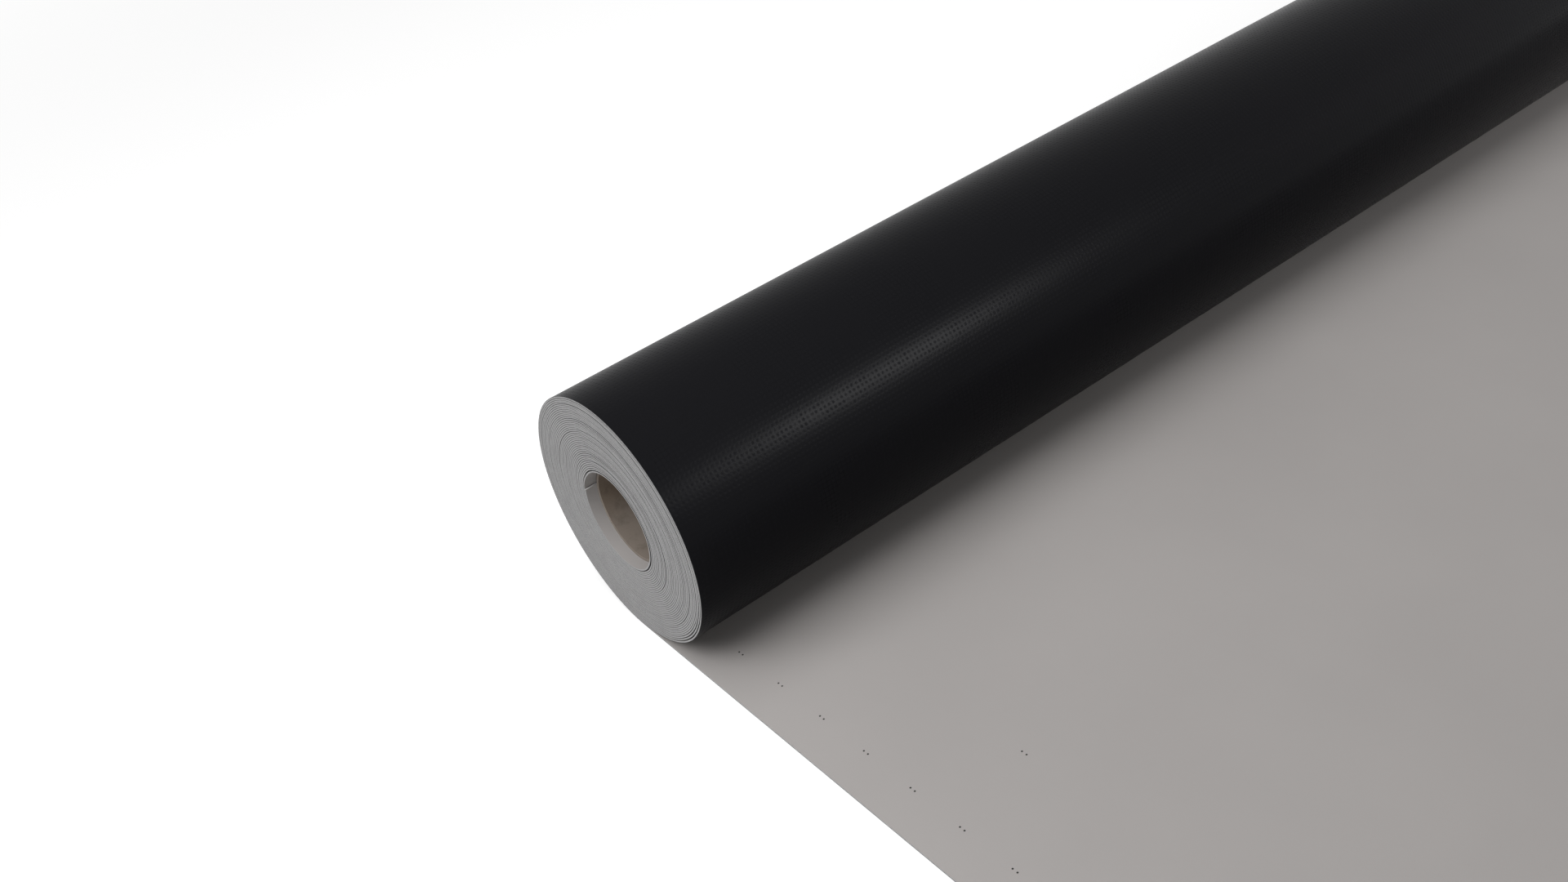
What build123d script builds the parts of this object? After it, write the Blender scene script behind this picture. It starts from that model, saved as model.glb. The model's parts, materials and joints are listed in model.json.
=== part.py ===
"""Roll of PVC roofing membrane on a paper core, its outer end unrolled flat on the floor.

X runs along the roll's axis, the sheet unrolls towards -Y and +Z is up. The origin is on
the floor, straight below the roll's axis and half way along it. Sizes are in millimetres.
"""

import os

from build123d import *

os.makedirs("parts", exist_ok=True)

# Membrane, as sold: one sheet, black below and grey above
sheet_width = 2000.0
sheet_thickness = 1.5
unrolled_length = 1000.0  # from below the axis to the free end
wound_turns = 41  # whole turns under the outermost lap

# Paper core, a little shorter than the roll
core_bore = 76.0
core_wall = 2.5
core_recess = 10.0  # from the roll's end to the core's end
core_clearance = 0.25  # between the core and the first turn

# Cut edges of the turns on the roll's two ends, crowned so that each turn shows
valley_depth = 0.5  # between one turn and the next
crest_inset = 0.1  # of the wound turns, behind the outermost lap's edge

# Groove under the outermost lap, from low on the back, over the top and down the front
lap_groove_width = 0.5
lap_groove_start = 190.0  # turned forward from the top
lap_groove_arc = 230.0

# Inner end of the sheet, where the second turn steps over it
inner_end_angle = 13.0  # above the horizontal, on the far side from the unrolled sheet
step_over_angle = 30.0  # the turn lies on the core again after this angle

core_radius = core_bore / 2 + core_wall
bore_radius = core_radius + core_clearance
wound_radius = bore_radius + wound_turns * sheet_thickness
axis_height = wound_radius + sheet_thickness
roll_end = sheet_width / 2

# The outermost lap grows the outline by one thickness in one turn: two half circles,
# tangent to each other at the top, with the sheet leaving between their lower ends
roll_height = axis_height + wound_radius + sheet_thickness / 2
back_radius = roll_height / 2
front_radius = (roll_height - sheet_thickness) / 2

roll_axis = Axis((0, 0, axis_height), (1, 0, 0))


def on_turn(radius, angle):
    """Point in the YZ plane at a radius from the roll's axis, its angle up from +Y."""
    return Vector(0, axis_height) + Vector(radius, 0).rotate(Axis.Z, angle)


with BuildPart() as membrane:
    # Section through the roll and the unrolled sheet, as one continuous piece
    with BuildSketch(Plane.YZ):
        with BuildLine():
            Line((-unrolled_length, 0), (0, 0))
            ThreePointArc((0, 0), (back_radius, back_radius), (0, roll_height))
            ThreePointArc(
                (0, roll_height),
                (-front_radius, sheet_thickness + front_radius),
                (0, sheet_thickness),
            )
            Line((0, sheet_thickness), (-unrolled_length, sheet_thickness))
            Line((-unrolled_length, sheet_thickness), (-unrolled_length, 0))
        make_face()
        with Locations((0, axis_height)):
            Circle(bore_radius, mode=Mode.SUBTRACT)
    extrude(amount=roll_end, both=True)

    # Gap that tapers off behind the sheet's inner end, open to the bore
    with BuildSketch(Plane.YZ):
        lands_angle = inner_end_angle + step_over_angle
        with BuildLine():
            lands = on_turn(bore_radius, lands_angle)
            corner = on_turn(bore_radius + sheet_thickness, inner_end_angle)
            TangentArc(lands, corner, tangent=Vector(1, 0).rotate(Axis.Z, lands_angle - 90))
            Polyline(
                corner,
                on_turn(core_radius, inner_end_angle),
                on_turn(core_radius, lands_angle),
                lands,
            )
        make_face()
    extrude(amount=roll_end, both=True, mode=Mode.SUBTRACT)

    # Crowned edge of each wound turn, on both ends
    with BuildSketch(Plane(roll_axis.position, x_dir=(1, 0, 0), z_dir=(0, -1, 0))):
        crests = [bore_radius + (turn + 0.5) * sheet_thickness for turn in range(wound_turns)]
        crowns = [(roll_end, core_radius), (roll_end - valley_depth, core_radius)]
        for crest in crests:
            crowns.append((roll_end - valley_depth, crest - sheet_thickness / 2))
            crowns.append((roll_end - crest_inset, crest))
        crowns.append((roll_end, crests[-1]))
        with BuildLine():
            Polyline(*crowns, close=True)
        make_face()
        mirror(about=Plane.YZ)
    revolve(axis=roll_axis, mode=Mode.SUBTRACT)

    # Groove between the last wound turn and the outermost lap, on both ends
    lap_groove_normal = Vector(0, -1, 0).rotate(Axis.X, lap_groove_start)
    with BuildSketch(Plane(roll_axis.position, x_dir=(1, 0, 0), z_dir=lap_groove_normal)):
        with BuildLine():
            Polyline(
                (roll_end, wound_radius - lap_groove_width / 2),
                (roll_end - valley_depth, wound_radius),
                (roll_end, wound_radius + lap_groove_width / 2),
                close=True,
            )
        make_face()
        mirror(about=Plane.YZ)
    revolve(axis=roll_axis, revolution_arc=lap_groove_arc, mode=Mode.SUBTRACT)

membrane.part.label = "membrane"

with BuildPart() as core_tube:
    with BuildSketch(Plane.YZ):
        with Locations((0, axis_height)):
            Circle(core_radius)
            Circle(core_bore / 2, mode=Mode.SUBTRACT)
    extrude(amount=roll_end - core_recess, both=True)

core_tube.part.label = "core_tube"

export_step(membrane.part, "parts/membrane.step")
export_step(core_tube.part, "parts/core_tube.step")
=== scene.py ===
import json
import math

import bpy
import numpy as np
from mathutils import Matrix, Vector


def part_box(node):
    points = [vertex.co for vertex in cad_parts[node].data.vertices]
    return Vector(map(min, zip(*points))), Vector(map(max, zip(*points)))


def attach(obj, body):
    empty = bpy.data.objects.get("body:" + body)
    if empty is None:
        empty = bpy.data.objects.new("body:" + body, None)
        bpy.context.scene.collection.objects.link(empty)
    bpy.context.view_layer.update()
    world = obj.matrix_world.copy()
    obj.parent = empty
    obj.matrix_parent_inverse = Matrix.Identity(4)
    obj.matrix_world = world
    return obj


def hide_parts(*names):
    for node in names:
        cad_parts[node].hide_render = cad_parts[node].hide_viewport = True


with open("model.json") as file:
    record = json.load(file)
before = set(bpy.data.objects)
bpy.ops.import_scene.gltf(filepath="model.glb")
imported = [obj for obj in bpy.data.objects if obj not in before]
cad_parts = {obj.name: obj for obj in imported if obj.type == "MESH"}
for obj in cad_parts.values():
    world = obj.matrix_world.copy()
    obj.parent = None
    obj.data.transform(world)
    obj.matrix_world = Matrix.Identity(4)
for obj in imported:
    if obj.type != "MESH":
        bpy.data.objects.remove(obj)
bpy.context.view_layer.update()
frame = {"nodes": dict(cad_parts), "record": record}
print("frame loaded:", sorted(frame["nodes"]))

# Everything is in metres in the CAD model's frame. X runs along the roll's axis, the sheet
# unrolls towards -Y, +Z is up and the floor is z = 0.
mm = 0.001
sheetLow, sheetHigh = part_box("membrane")
nearEnd, farEnd = sheetLow.x, sheetHigh.x
coreLow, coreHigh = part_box("core_tube")
coreRadius = (coreHigh.y - coreLow.y) / 2
coreBore = next(mount for mount in frame["record"]["mounts"] if mount["name"] == "core_bore")
boreRadius = coreBore["dims"]["r_mm"] * mm
axisHeight = coreBore["pos_m"][2]


# Helpers for meshes


def addObject(name, data):
    thing = bpy.data.objects.new(name, data)
    bpy.context.scene.collection.objects.link(thing)
    return thing


def addMesh(name, points, faces, materials, finish, sharpAngle, plan=None):
    # points is an (n, 3) array, and faces are rows of point numbers, wound so that they face
    # outwards. finish has one material number for each face, and plan one pair for each point.
    mesh = bpy.data.meshes.new(name)
    mesh.from_pydata(points.tolist(), [], faces)
    for material in materials:
        mesh.materials.append(material)
    mesh.polygons.foreach_set("material_index", np.asarray(finish, np.int32))
    mesh.polygons.foreach_set("use_smooth", np.ones(len(mesh.polygons), bool))
    mesh.set_sharp_from_angle(angle=math.radians(sharpAngle))
    if plan is not None:
        cornerPoints = np.empty(len(mesh.loops), np.int32)
        mesh.loops.foreach_get("vertex_index", cornerPoints)
        layer = mesh.uv_layers.new(name="sheetPlan")
        layer.uv.foreach_set("vector", plan[cornerPoints].astype(np.float32).ravel())
    mesh.validate()
    mesh.update()
    return addObject(name, mesh)


def ringQuads(rows, columns):
    # Quads of a grid of points numbered row by row, where each row is a ring: its last point
    # joins its first.
    row = np.arange(rows - 1)[:, None]
    column = np.arange(columns)[None, :]
    after = (column + 1) % columns
    here, there = row * columns, (row + 1) * columns
    quads = np.stack([here + column, here + after, there + after, there + column], -1)
    return quads.reshape(-1, 4)


def smoothNoise(where, perUnit, seed):
    # Value noise on a line: random values from -1 to 1 at even knots, joined by the curve
    # 3f^2 - 2f^3, where f is the share of the way from one knot to the next.
    at = np.asarray(where) * perUnit + 1000.0  # past 0, so that every knot has a value
    knot = np.floor(at).astype(int)
    share = at - knot
    values = np.random.default_rng(seed).uniform(-1, 1, knot.max() + 2)
    blend = share * share * (3 - 2 * share)
    return values[knot] * (1 - blend) + values[knot + 1] * blend


# Helpers for materials


class NodeBuilder:
    # Adds and links shader nodes in a new material or world. An input is a number, a tuple
    # or a socket.
    def __init__(self, owner):
        owner.use_nodes = True
        self.owner = owner
        self.tree = owner.node_tree

    def put(self, socket, value):
        if isinstance(value, bpy.types.NodeSocket):
            self.tree.links.new(value, socket)
        else:
            socket.default_value = value

    def add(self, kind, settings=None, **inputs):
        # Sets inputs by name, with _ for each space in it
        node = self.tree.nodes.new("ShaderNode" + kind)
        for key, value in (settings or {}).items():
            setattr(node, key, value)
        for key, value in inputs.items():
            self.put(node.inputs[key.replace("_", " ")], value)
        return node

    def inOrder(self, kind, settings, *values):
        # Sets inputs from the first on, for nodes whose inputs share a name
        node = self.add(kind, settings)
        for socket, value in zip(node.inputs, values):
            self.put(socket, value)
        return node.outputs[0]

    def math(self, operation, *values):
        return self.inOrder("Math", {"operation": operation}, *values)

    def mixColour(self, share, first, second):
        node = self.add("Mix", {"data_type": "RGBA"})
        self.put(node.inputs[0], share)
        self.put(node.inputs[6], first)  # A and B of the colour mix
        self.put(node.inputs[7], second)
        return node.outputs[2]

    def ramp(self, value, low, high, toLow=0.0, toHigh=1.0):
        # A smooth step from toLow, where the value is low, to toHigh, where it is high.
        # Either of low and high may be the larger.
        return self.add(
            "MapRange", {"interpolation_type": "SMOOTHSTEP"}, Value=value,
            From_Min=low, From_Max=high, To_Min=toLow, To_Max=toHigh,
        ).outputs["Result"]

    def noise(self, vector, scale, detail=2.0, roughness=0.5):
        # The scale is in lumps to a metre, for a vector in metres
        return self.add(
            "TexNoise", Vector=vector, Scale=scale, Detail=detail, Roughness=roughness
        ).outputs["Fac"]

    def bump(self, height, distance, over=None):
        node = self.add("Bump", Strength=1.0, Distance=distance, Height=height)
        if over is not None:
            self.put(node.inputs["Normal"], over)
        return node.outputs["Normal"]

    def surface(self, tint, roughness, gloss, normal):
        shader = self.tree.nodes["Principled BSDF"]
        self.put(shader.inputs["Base Color"], tint)
        self.put(shader.inputs["Roughness"], roughness)
        self.put(shader.inputs["Specular IOR Level"], gloss)
        self.put(shader.inputs["Normal"], normal)
        return self.owner


midRange = (0.3, 0.7)  # most of a noise lies between these values


def colour(red, green, blue):
    return (red, green, blue, 1.0)


def shade(base, factor):
    return colour(*(channel * factor for channel in base[:3]))


# The membrane: one sheet, wound on the core and on out over the floor

membrane = {
    # The sheet's section
    "thickness": 1.44 * mm,
    "blackPly": 0.24,  # share of the thickness
    "edgeRound": 0.06 * mm,

    # Winding, with angles in degrees from the roll's bottom up the back
    "wholeTurns": 41,  # from the floor in to the sheet's inner end
    "innerEnd": 103.0,
    "stepOver": 30.0,  # angle in which the next turn comes down onto the core past that end
    "coreGap": 0.25 * mm,  # between the core and the first turn
    "easing": 0.01 * mm,  # kept clear of the CAD model's box
    "stepsPerTurn": 120,
    "tailSteps": 40,  # along the flat part

    # How much of their pitch the turns near the core drop in that step, from the core out
    "snugTurns": [1.0, 0.50, 0.45, 0.40, 0.35, 0.30, 0.25, 0.20, 0.15, 0.10, 0.05],

    # Wander of the turns' edges in and out: how far in all, and the share, the knots in a
    # turn and the seed of each noise in it
    "wander": 0.45 * mm,
    "wanderNoises": [(0.6, 2.7, 7), (0.4, 0.3, 3)],

    # Places where two turns stand apart a little: turn counted from the outside, angle, half
    # width, gap, and how many turns on either side take it up
    "tightGaps": [
        (12, 215, 95, 0.34 * mm, 9), (24, 70, 80, 0.30 * mm, 8), (18, 120, 70, 0.30 * mm, 8),
        (8, 300, 60, 0.20 * mm, 6), (27, 270, 85, 0.26 * mm, 8),
    ],

    # The turns outside the first one stand off it on the front: angle, half width, gap, and
    # how many turns take it up
    "firstGap": (270, 130, 0.5 * mm, 24),

    # The outermost laps sag off the roll low on the front: angle, half width, gap outwards
    "looseLaps": [(312, 46, 1.45 * mm), (309, 44, 0.78 * mm), (306, 42, 0.30 * mm)],

    # Fabric whose mesh shows through both plies
    "scrimPitch": 4.0 * mm,
    "scrimDepth": 0.08 * mm,  # of its dimples in the black side
    "scrimWander": 0.5 * mm,
    "scrimOnGrey": 0.2,  # share of that depth in the grey side

    # Black underside, on the outside of the roll
    "black": colour(0.0047, 0.0047, 0.0057),
    "blackSpecks": 1.25,  # how much lighter the lightest specks are
    "blackGrain": 0.004 * mm,  # relief of the finest grain
    "blackWobble": 0.25,  # unevenness, as a share of the dimples' depth
    "blackGloss": 0.05,
    "blackRoughness": (0.26, 0.30),
    "dimpleRoughness": 0.25,  # added in the dimples

    # Grey upper side
    "grey": colour(0.360, 0.341, 0.332),
    "greyClouds": (0.97, 1.03),  # shades between which it changes slowly
    "greySpecks": 0.93,  # shade of its specks
    "greySpecksShare": 0.35,  # and how strongly they show
    "greyGrain": 0.006 * mm,
    "greyGloss": 0.2,
    "greyRoughness": (0.47, 0.54),

    # Printed lap marks on the grey side, pairs of dots in rows: distance of each row from the
    # near side edge, of one pair from the free end, and from pair to pair
    "markRows": [(32 * mm, 916.5 * mm, 48 * mm), (106 * mm, 694 * mm, 500 * mm)],
    "markApart": 4.3 * mm,  # between the two dots of a pair
    "markRadius": 0.75 * mm,
    "markEdge": (1.15, 0.8),  # shares of the radius where the ink starts and is full
    "ink": colour(0.012, 0.012, 0.012),

    # Fresh cut through each ply, and the grey of the sheet's two cross cuts, painted lighter than
    # the same ply's other cut as painted light where the inner end faces up
    "cutGrey": colour(0.405, 0.402, 0.404),
    "cutBlack": colour(0.072, 0.071, 0.072),
    "crossCutPaintedLight": colour(0.62, 0.61, 0.61),
    "cutShades": (0.80, 1.10),  # of the darkest and the lightest fibres
    "cutPatches": 0.3,  # how strongly patches darken a cut
    "cutSmudges": 0.45,  # and handling marks
    "cutGloss": 0.3,
    "cutRoughness": (0.62, 0.78),
    "cutRelief": 0.05 * mm,
}


def nearestBump(turn, angle, half):
    # The nearest pass of the spiral at an angle, counted from the outside, and cos^2 over
    # the half width either side of it.
    count = np.floor(turn - angle / 360 + 0.5)
    away = (turn - angle / 360 - count) * 360 / half
    return count, np.where(np.abs(away) < 1, np.cos(np.pi / 2 * away) ** 2, 0.0)


def radiusLooseness(turn):
    # How far a point on the spiral stands out from the even spiral. For each tight gap the
    # bump is cos^2 over its width. The turns outside it are pushed out by half the gap and
    # the ones inside in by half, less with each turn, so that no two turns ever cross. The
    # first gap pushes only outwards, from the second turn on the core, and each loose lap
    # moves out by itself.
    out = np.zeros_like(turn)
    for gapTurn, angle, half, size, spread in membrane["tightGaps"]:
        count, bump = nearestBump(turn, angle, half)
        outside = np.clip(1 - (gapTurn - count) / spread, 0, 1) * (count <= gapTurn)
        inside = np.clip(1 - (count - gapTurn - 1) / spread, 0, 1) * (count > gapTurn)
        out += size / 2 * bump * (outside - inside)
    angle, half, size, spread = membrane["firstGap"]
    count, bump = nearestBump(turn, angle, half)
    first = membrane["wholeTurns"] - 1
    out += size * bump * np.clip(1 - (first - 1 - count) / spread, 0, 1) * (count < first)
    for lap, (angle, half, size) in enumerate(membrane["looseLaps"]):
        count, bump = nearestBump(turn, angle, half)
        out += size * bump * (count == lap)
    return out


def sheetStations():
    # One row for each station along the sheet, from its free end to its inner end: the
    # point on the black side in the YZ plane, the direction to the grey side, the length
    # along the sheet and the turn.
    endShare = membrane["innerEnd"] / 360
    lastTurn = membrane["wholeTurns"] + endShare
    innerRadius = coreRadius + membrane["coreGap"]
    pitch = (axisHeight - innerRadius - membrane["thickness"]) / lastTurn
    flatY = np.linspace(sheetLow.y, 0, membrane["tailSteps"] + 1)[:-1]
    turn = np.append(np.arange(0, lastTurn, 1 / membrane["stepsPerTurn"]), lastTurn)

    # An even spiral, radius = axisHeight - pitch * turn, touches the floor at turn 0. The
    # turns near the core drop by part of their pitch in the step past the inner end instead:
    # share = (1 - snug) * past + snug * s(past / step), where past is the share of the turn
    # gone since the inner end's angle and s(x) = 3x^2 - 2x^3. The first turn has snug = 1
    # and lies on the core all round.
    lap = np.minimum(np.floor(turn - endShare), membrane["wholeTurns"] - 1)
    past = turn - endShare - lap
    snugTurns = np.array(membrane["snugTurns"] + [0.0])
    fromCore = np.clip(membrane["wholeTurns"] - 1 - lap, 0, len(snugTurns) - 1).astype(int)
    snug = snugTurns[fromCore]
    step = np.clip(past * 360 / membrane["stepOver"], 0, 1)
    share = (1 - snug) * past + snug * step * step * (3 - 2 * step)
    radius = axisHeight - pitch * (endShare + lap + share) + radiusLooseness(turn)

    # The easing comes in over the first fifth of a turn off the floor
    radius -= membrane["easing"] * np.clip(turn * 5, 0, 1)
    angle = 2 * np.pi * turn
    outward = np.stack([np.sin(angle), -np.cos(angle)], -1)
    wound = outward * radius[:, None] + [0, axisHeight]
    blackSide = np.concatenate([np.stack([flatY, 0 * flatY], -1), wound])
    towardsGrey = np.concatenate([np.tile([0.0, 1.0], (len(flatY), 1)), -outward])
    turns = np.concatenate([0 * flatY, turn])
    lengths = np.linalg.norm(np.diff(blackSide, axis=0), axis=1)
    return blackSide, towardsGrey, np.append(0, np.cumsum(lengths)), turns


def readPlan(nodes):
    # The sheet's map, and its two parts in metres: length from the free end, and X across
    plan = nodes.add("UVMap", {"uv_map": "sheetPlan"}).outputs["UV"]
    parts = nodes.add("SeparateXYZ", Vector=plan).outputs
    return plan, parts["X"], parts["Y"]


def scrimHeight(nodes, plan, along, across):
    # Height 0 to 1 over the weave: 1 - depth * (cos^2 along * cos^2 across)^1.3, which leaves
    # one small dimple in each mesh of the fabric. Noise moves the threads about, read from
    # another place for each direction, and changes the dimples' depth.
    waves = []
    for line, elsewhere in ((along, (0.0, 0.0, 0.0)), (across, (3.7, 1.3, 0.0))):
        shifted = nodes.inOrder("VectorMath", {"operation": "ADD"}, plan, elsewhere)
        drift = nodes.math("SUBTRACT", nodes.noise(shifted, scale=260.0), 0.5)
        line = nodes.math("MULTIPLY_ADD", drift, 2 * membrane["scrimWander"], line)
        angle = nodes.math("MULTIPLY", line, math.pi / membrane["scrimPitch"])
        wave = nodes.math("COSINE", angle)
        waves.append(nodes.math("MULTIPLY", wave, wave))
    dimple = nodes.math("POWER", nodes.math("MULTIPLY", *waves), 1.3)
    deepness = nodes.noise(plan, scale=150.0, detail=3.0)
    depth = nodes.ramp(deepness, 0.25, 0.7, toLow=0.25)
    return nodes.math("SUBTRACT", 1.0, nodes.math("MULTIPLY", dimple, depth))


def makeBlack(name):
    # The fabric's dimples, a fine grain, and gloss that changes slowly from place to place
    nodes = NodeBuilder(bpy.data.materials.new(name))
    plan, along, across = readPlan(nodes)
    weave = scrimHeight(nodes, plan, along, across)
    wobble = nodes.noise(plan, scale=900.0, detail=1.0)
    grain = nodes.noise(plan, scale=2600.0)
    clouds = nodes.noise(plan, scale=9.0, detail=3.0)
    specks = shade(membrane["black"], membrane["blackSpecks"])
    tint = nodes.mixColour(nodes.ramp(grain, 0.35, 0.65), membrane["black"], specks)
    dimples = nodes.math("SUBTRACT", 1.0, weave)
    roughness = nodes.math(
        "MULTIPLY_ADD", dimples, membrane["dimpleRoughness"],
        nodes.ramp(clouds, *midRange, *membrane["blackRoughness"]),
    )
    fine = nodes.bump(grain, membrane["blackGrain"])
    height = nodes.math("MULTIPLY_ADD", wobble, membrane["blackWobble"], weave)
    normal = nodes.bump(height, membrane["scrimDepth"], over=fine)
    return nodes.surface(tint, roughness, membrane["blackGloss"], normal)


def markMask(nodes, along, fromEdge, row, onePair, pitch):
    # 1 inside each dot of a row of pairs. The distance from the nearest pair's middle is
    # folded about it, so that two dots stand half of markApart either side.
    fromPair = nodes.math("WRAP", nodes.math("SUBTRACT", along, onePair), pitch / 2, -pitch / 2)
    folded = nodes.math("ABSOLUTE", fromPair)
    alongDot = nodes.math("SUBTRACT", folded, membrane["markApart"] / 2)
    acrossDot = nodes.math("SUBTRACT", fromEdge, row)
    square = nodes.math("MULTIPLY", acrossDot, acrossDot)
    reach = nodes.math("SQRT", nodes.math("MULTIPLY_ADD", alongDot, alongDot, square))
    outer, inner = (share * membrane["markRadius"] for share in membrane["markEdge"])
    return nodes.ramp(reach, outer, inner)


def makeGrey(name):
    # Fainter dimples, fine specks, slow changes of shade, and the printed marks on top
    nodes = NodeBuilder(bpy.data.materials.new(name))
    plan, along, across = readPlan(nodes)
    clouds = nodes.noise(plan, scale=5.0, detail=4.0)
    grain = nodes.noise(plan, scale=1900.0)
    darker, lighter = (shade(membrane["grey"], factor) for factor in membrane["greyClouds"])
    tint = nodes.mixColour(nodes.ramp(clouds, 0.25, 0.75), darker, lighter)
    specks = nodes.ramp(grain, 0.35, 0.7, toHigh=membrane["greySpecksShare"])
    tint = nodes.mixColour(specks, tint, shade(membrane["grey"], membrane["greySpecks"]))
    fromEdge = nodes.math("SUBTRACT", across, nearEnd)
    marks = 0.0
    for row in membrane["markRows"]:
        marks = nodes.math("MAXIMUM", marks, markMask(nodes, along, fromEdge, *row))
    tint = nodes.mixColour(marks, tint, membrane["ink"])
    roughness = nodes.ramp(clouds, *midRange, *membrane["greyRoughness"])
    fine = nodes.bump(grain, membrane["greyGrain"])
    weave = scrimHeight(nodes, plan, along, across)
    normal = nodes.bump(weave, membrane["scrimDepth"] * membrane["scrimOnGrey"], over=fine)
    return nodes.surface(tint, roughness, membrane["greyGloss"], normal)


def makeCut(name, base):
    # Rough fibres, darkened in patches and by handling
    nodes = NodeBuilder(bpy.data.materials.new(name))
    place = nodes.add("TexCoord").outputs["Object"]
    fibres = nodes.noise(place, scale=2400.0, detail=3.0, roughness=0.6)
    patches = nodes.noise(place, scale=160.0)
    smudges = nodes.noise(place, scale=42.0, detail=4.0, roughness=0.6)
    dark, light = (shade(base, factor) for factor in membrane["cutShades"])
    tint = nodes.mixColour(nodes.ramp(fibres, *midRange), dark, light)
    smudged = nodes.ramp(smudges, 0.45, 0.7, toHigh=membrane["cutSmudges"])
    tint = nodes.mixColour(smudged, tint, dark)
    patched = nodes.ramp(patches, *midRange, toHigh=membrane["cutPatches"])
    tint = nodes.mixColour(patched, tint, dark)
    roughness = nodes.ramp(fibres, *midRange, *membrane["cutRoughness"])
    normal = nodes.bump(fibres, membrane["cutRelief"])
    return nodes.surface(tint, roughness, membrane["cutGloss"], normal)


plyJoint = 3  # the half section's point where the plies meet


def halfSection():
    # The section at one side edge, from black to grey: how far in from the edge and how far up
    # each point is. Three points make each of its two rounded corners, and the plies' joint
    # is the point between them.
    radius, thickness = membrane["edgeRound"], membrane["thickness"]
    bend = 0.3 * radius  # middle of a rounded corner, from either face
    inFrom = np.array([radius, bend, 0, 0, 0, bend, radius])
    jointUp = membrane["blackPly"] * thickness
    up = np.array([0, bend, radius, jointUp, thickness - radius, thickness - bend, thickness])
    return inFrom, up


def sheetFaces(rows, columns):
    # The strips round the section, and the two cut ends, each closed by a face for either
    # ply, with the number of each face's material
    # The grey ply of both cross cuts takes a lighter grey than its other cuts: painted light
    black, grey, cutGrey, cutBlack, crossCutPaintedLight = range(5)
    nearStrips = [cutBlack] * plyJoint + [cutGrey] * (columns // 2 - 1 - plyJoint)
    strips = nearStrips + [grey] + nearStrips[::-1] + [black]
    blackRing = [*range(plyJoint + 1), *range(columns - plyJoint - 1, columns)]
    greyRing = [*range(plyJoint, columns - plyJoint)]
    freeEnd = np.arange(columns)
    innerEnd = freeEnd + (rows - 1) * columns
    caps = [
        freeEnd[blackRing][::-1], freeEnd[greyRing][::-1], innerEnd[blackRing], innerEnd[greyRing]
    ]
    faces = ringQuads(rows, columns).tolist() + [cap.tolist() for cap in caps]
    return faces, strips * (rows - 1) + [cutBlack, crossCutPaintedLight] * 2


def makeMembrane():
    # The section carried along the sheet: point = blackSide + up * towardsGrey in the YZ
    # plane, and X at the side edge, less the corner's rounding. Row i is one station along
    # the sheet, column j one point round the section. The sheet keeps its width, and wanders
    # a little along the roll as it is wound.
    blackSide, towardsGrey, along, turns = sheetStations()
    inFrom, up = halfSection()
    drift = sum(
        share * smoothNoise(turns, perTurn, seed)
        for share, perTurn, seed in membrane["wanderNoises"]
    )
    wander = (membrane["wander"] / 2 * (1 + drift))[:, None]
    nearX = nearEnd + wander + inFrom
    farX = farEnd - membrane["wander"] + wander - inFrom[::-1]
    x = np.concatenate([nearX, farX], -1)
    up = np.concatenate([up, up[::-1]])
    yz = blackSide[:, None, :] + up[None, :, None] * towardsGrey[:, None, :]
    points = np.concatenate([x[:, :, None], yz], -1)
    plan = np.stack([np.repeat(along, x.shape[1]), x.ravel()], -1)
    faces, finish = sheetFaces(*x.shape)
    materials = [
        makeBlack("blackUnderside"),
        makeGrey("greyUpperSide"),
        makeCut("cutGreyPly", membrane["cutGrey"]),
        makeCut("cutBlackPly", membrane["cutBlack"]),
        # The cross cuts' grey is painted lighter, a painted highlight for light on the upward
        # inner end
        makeCut("crossCutPaintedLight", membrane["crossCutPaintedLight"]),
    ]
    piece = addMesh(
        "roofingMembrane", points.reshape(-1, 3), faces, materials, finish, sharpAngle=30,
        plan=plan,
    )
    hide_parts("membrane")
    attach(piece, "root")
    print("membrane:", len(faces), "faces,", round(along[-1], 2), "m of sheet")


# The paper core

core = {
    "segments": 144,
    "rounding": 0.3 * mm,
    "roundingSteps": 3,

    # Kraft paper of the walls
    "kraft": colour(0.240, 0.192, 0.150),
    "kraftDark": colour(0.176, 0.136, 0.103),
    "blotches": 0.35,  # how strongly blotches of the dark shade show
    "kraftGloss": 0.25,
    "kraftRoughness": (0.74, 0.88),
    "kraftRelief": 0.12 * mm,

    # Spiral seam from one lap of the paper to the next
    "seamPitch": 118 * mm,  # along the core
    "seamPhase": 0.30,  # share of the pitch by which it is moved along
    "seamEdge": (0.008, 0.003),  # shares of the pitch where the seam starts and is full
    "seam": colour(0.16, 0.128, 0.10),
    "seamShare": 0.35,

    # Dust along the bottom of the bore
    "dust": colour(0.222, 0.194, 0.170),
    "dustShare": 0.7,
    "dustHeights": (5 * mm, -30 * mm),  # from the axis, where it starts and is full
    "dustWander": 30 * mm,  # of those heights, in all

    # Scuffs all over the walls
    "scuff": colour(0.115, 0.096, 0.078),
    "scuffShare": 0.5,

    # Cut ends, where the plies show
    "cut": colour(0.30, 0.262, 0.232),
    "cutDark": colour(0.215, 0.185, 0.160),
    "plyThickness": 0.5 * mm,
    "jointEdge": (0.06 * mm, 0.02 * mm),  # from a joint's middle, where it starts and is full
    "jointShare": 0.5,
    "cutGloss": 0.2,
    "cutRoughness": (0.80, 0.92),
    "cutRelief": 0.08 * mm,
}


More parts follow.
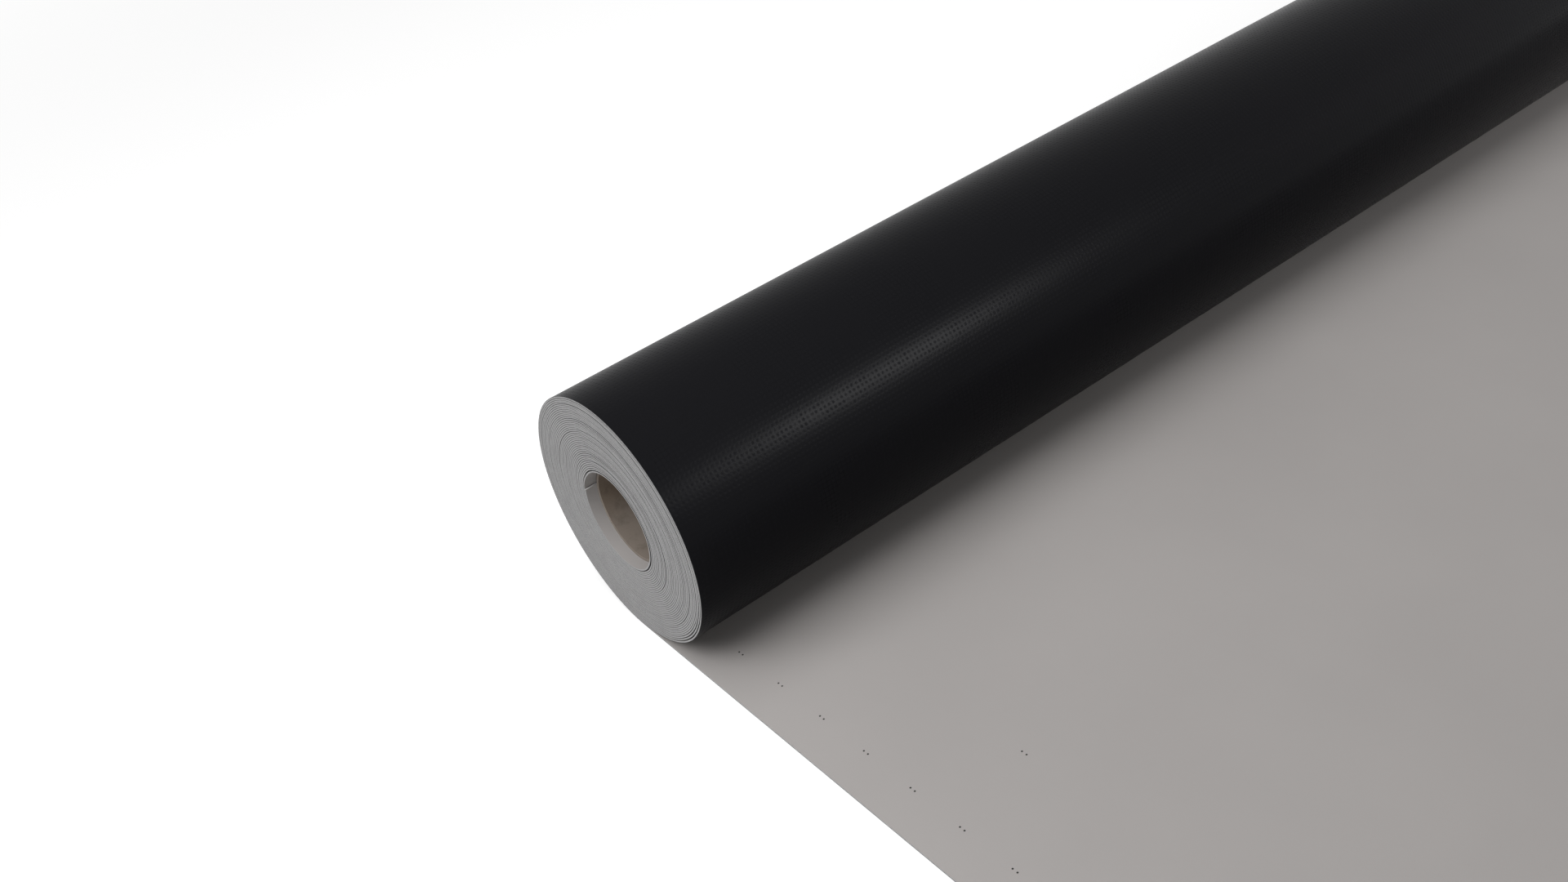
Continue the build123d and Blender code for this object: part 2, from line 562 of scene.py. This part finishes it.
def makeKraft(name):
    # The seam is a helix: X over the seam's pitch, plus the share of a turn round the axis
    # and the phase, is a whole number along it.
    nodes = NodeBuilder(bpy.data.materials.new(name))
    place = nodes.add("TexCoord").outputs["Object"]
    parts = nodes.add("SeparateXYZ", Vector=place).outputs
    height = nodes.math("SUBTRACT", parts["Z"], axisHeight)
    turned = nodes.math("DIVIDE", nodes.math("ARCTAN2", parts["Y"], height), 2 * math.pi)
    helix = nodes.math("ADD", nodes.math("DIVIDE", parts["X"], core["seamPitch"]), turned)
    helix = nodes.math("ADD", helix, core["seamPhase"])
    fromSeam = nodes.math("ABSOLUTE", nodes.math("WRAP", helix, 0.5, -0.5))
    lap = nodes.ramp(fromSeam, *core["seamEdge"])

    # Fibres about three times as long as they are wide, along the core
    stretched = nodes.add("Mapping", Vector=place, Scale=(70.0, 220.0, 220.0)).outputs["Vector"]
    fibres = nodes.noise(stretched, scale=6.0, detail=5.0, roughness=0.6)
    blotches = nodes.noise(place, scale=26.0, detail=3.0)
    scuffs = nodes.noise(place, scale=75.0, detail=5.0, roughness=0.65)
    tint = nodes.mixColour(nodes.ramp(fibres, 0.1, 0.9), core["kraftDark"], core["kraft"])
    blotched = nodes.ramp(blotches, 0.35, 0.75, toHigh=core["blotches"])
    tint = nodes.mixColour(blotched, tint, core["kraftDark"])
    unevenness = nodes.math("SUBTRACT", blotches, 0.5)
    low = nodes.math("MULTIPLY_ADD", unevenness, core["dustWander"], height)
    dusty = nodes.ramp(low, *core["dustHeights"], toHigh=core["dustShare"])
    tint = nodes.mixColour(dusty, tint, core["dust"])
    scuffed = nodes.ramp(scuffs, 0.5, 0.72, toHigh=core["scuffShare"])
    tint = nodes.mixColour(scuffed, tint, core["scuff"])
    seam = nodes.math("MULTIPLY", lap, core["seamShare"])
    tint = nodes.mixColour(seam, tint, core["seam"])
    roughness = nodes.ramp(fibres, *midRange, *core["kraftRoughness"])
    relief = nodes.math("SUBTRACT", nodes.math("MULTIPLY", fibres, 0.5), lap)
    normal = nodes.bump(relief, core["kraftRelief"])
    return nodes.surface(tint, roughness, core["kraftGloss"], normal)


def makeCutPaper(name):
    # The plies show as rings: distance from the axis, folded over each ply's thickness.
    nodes = NodeBuilder(bpy.data.materials.new(name))
    place = nodes.add("TexCoord").outputs["Object"]
    parts = nodes.add("SeparateXYZ", Vector=place).outputs
    height = nodes.math("SUBTRACT", parts["Z"], axisHeight)
    square = nodes.math("MULTIPLY", parts["Y"], parts["Y"])
    reach = nodes.math("SQRT", nodes.math("MULTIPLY_ADD", height, height, square))
    folded = nodes.math("PINGPONG", reach, core["plyThickness"] / 2)
    joint = nodes.math("MULTIPLY", nodes.ramp(folded, *core["jointEdge"]), core["jointShare"])
    fibres = nodes.noise(place, scale=1500.0, detail=3.0, roughness=0.6)
    tint = nodes.mixColour(nodes.ramp(fibres, *midRange), core["cutDark"], core["cut"])
    tint = nodes.mixColour(joint, tint, core["kraftDark"])
    roughness = nodes.ramp(fibres, *midRange, *core["cutRoughness"])
    normal = nodes.bump(fibres, core["cutRelief"])
    return nodes.surface(tint, roughness, core["cutGloss"], normal)


def makeCore():
    # A ring-shaped section carried once round the axis: point = (x, r sin angle, axisHeight -
    # r cos angle) for each x and r of the section. Row i is one angle, column j one point of
    # the section. The angles go backwards, which turns the faces outwards.
    soft = core["rounding"]
    bend = np.linspace(0, np.pi / 2, core["roundingSteps"] + 1)
    arc = np.stack([1 - np.cos(bend), np.sin(bend)], -1) * soft

    # Section at the near end, from the inner wall round to the outer wall, and its mirror
    # image at the far end
    nearIn = np.stack([coreLow.x + soft - arc[:, 1], boreRadius + arc[:, 0]], -1)
    nearOut = np.stack([coreLow.x + arc[:, 0], coreRadius - soft + arc[:, 1]], -1)
    near = np.concatenate([nearIn, nearOut])
    far = near[::-1] * [-1, 1] + [coreLow.x + coreHigh.x, 0]
    x, r = np.concatenate([near, far]).T[:, None, :]
    angle = np.linspace(2 * np.pi, 0, core["segments"], endpoint=False)[:, None]
    y, z = r * np.sin(angle), axisHeight - r * np.cos(angle)
    points = np.stack([x + 0 * angle, y, z], -1)
    rows, columns = points.shape[:2]
    quads = ringQuads(rows + 1, columns) % (rows * columns)

    # Finish of each strip round the section: the cut end with its corners, then a wall
    walls, cutEnds = range(2)
    strips = ([cutEnds] * (len(near) - 1) + [walls]) * 2
    piece = addMesh(
        "paperCore", points.reshape(-1, 3), quads.tolist(),
        [makeKraft("kraftPaper"), makeCutPaper("cutPaper")], strips * rows, sharpAngle=40,
    )
    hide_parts("core_tube")
    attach(piece, "root")
    print("core:", len(quads), "faces")


# Floor, light and camera

studio = {
    "floorSize": 16.0,
    "floorDrop": 0.4 * mm,  # below the sheet's underside
    "floorColour": colour(0.50, 0.50, 0.50),
    "floorLift": (0.66, 1.0),  # white added for the camera, near the object and far off
    "floorFade": (1.5, 4.5),  # distances from the origin between which it grows
    "skyLevel": 0.18,
    "lampTarget": 0.15,  # what the lamps face on the roll's axis, from its near end
    "lamps": {
        "top": {"power": 87.0, "size": (3.2, 3.8), "place": (-0.75, -0.45, 4.4)},
        "side": {"power": 9.4, "size": (0.75, 0.75), "place": (-1.7, -0.05, 0.95)},
        "front": {"power": 72.0, "size": (1.6, 1.1), "place": (2.6, -2.2, 1.3)},
        "strip": {
            "power": 19.0, "size": (0.9, 0.42), "place": (-0.4, -1.9, 1.41),
            "onlyMirrored": True,  # it lights nothing, and shows only in the black sheet
        },
    },
}

camera = {
    "lens": 37.599,
    "sensor": 36.0,
    "farthest": 50.0,
    "place": (-1.40370, -0.88700, 0.83206),
    "turned": (54.209, 8.574, -38.409),  # degrees about X, Y and Z
}


def seenRays(nodes):
    # 1 for what the camera and reflections see, and 0 for the light that falls on things
    path = nodes.add("LightPath").outputs
    seen = nodes.math("MAXIMUM", path["Is Camera Ray"], path["Is Glossy Ray"])
    return nodes.math("MAXIMUM", seen, path["Is Transmission Ray"])


def makeFloor():
    # A matte floor that fades to white away from the object. The white is added only for
    # the camera and reflections, so that it throws no light on the object.
    half, level = studio["floorSize"] / 2, -studio["floorDrop"]
    mesh = bpy.data.meshes.new("studioFloor")
    mesh.from_pydata(
        [(x * half, y * half, level) for x, y in ((-1, -1), (1, -1), (1, 1), (-1, 1))],
        [], [(0, 1, 2, 3)],
    )
    nodes = NodeBuilder(bpy.data.materials.new("paleFloor"))
    nodes.tree.nodes.clear()
    place = nodes.add("TexCoord").outputs["Object"]
    away = nodes.add("VectorMath", {"operation": "LENGTH"}, Vector=place).outputs["Value"]
    lift = nodes.ramp(away, *studio["floorFade"], *studio["floorLift"])
    matte = nodes.add("BsdfDiffuse", Color=studio["floorColour"]).outputs[0]
    glow = nodes.add("Emission", Color=colour(1, 1, 1), Strength=lift).outputs[0]
    both = nodes.inOrder("AddShader", None, matte, glow)
    lifted = nodes.inOrder("MixShader", None, seenRays(nodes), matte, both)
    nodes.add("OutputMaterial", Surface=lifted)
    mesh.materials.append(nodes.owner)
    addObject("studioFloor", mesh)


def makeWorld():
    # The camera and reflections see white, and the object is lit by a soft even sky.
    nodes = NodeBuilder(bpy.data.worlds.new("studioWorld"))
    nodes.tree.nodes.clear()
    sky, white = (
        nodes.add("Background", Color=colour(1, 1, 1), Strength=level).outputs[0]
        for level in (studio["skyLevel"], 1.0)
    )
    mixed = nodes.inOrder("MixShader", None, seenRays(nodes), sky, white)
    nodes.add("OutputWorld", Surface=mixed)
    bpy.context.scene.world = nodes.owner


def makeLamp(kind, power, size, place, onlyMirrored=False):
    # A soft rectangle that faces the roll near its near end
    lamp = bpy.data.lights.new(kind + "Lamp", "AREA")
    lamp.energy = power
    lamp.shape = "RECTANGLE"
    lamp.size, lamp.size_y = size
    holder = addObject(kind + "Lamp", lamp)
    holder.location = place
    target = Vector((nearEnd + studio["lampTarget"], 0, axisHeight))
    holder.rotation_euler = (target - holder.location).to_track_quat("-Z", "Y").to_euler()
    holder.visible_glossy = onlyMirrored
    holder.visible_diffuse = not onlyMirrored


def makeCamera():
    lens = bpy.data.cameras.new("photoCamera")
    lens.lens = camera["lens"]
    lens.sensor_width = camera["sensor"]
    lens.clip_end = camera["farthest"]
    holder = addObject("photoCamera", lens)
    holder.location = camera["place"]
    holder.rotation_euler = [math.radians(degrees) for degrees in camera["turned"]]
    bpy.context.scene.camera = holder
    print("camera: placed")


makeCamera()
makeMembrane()
makeCore()
makeFloor()
makeWorld()
for kind, lamp in studio["lamps"].items():
    makeLamp(kind, **lamp)
bpy.context.scene.view_settings.view_transform = "Standard"
print("studio: floor, world and", len(studio["lamps"]), "lamps")
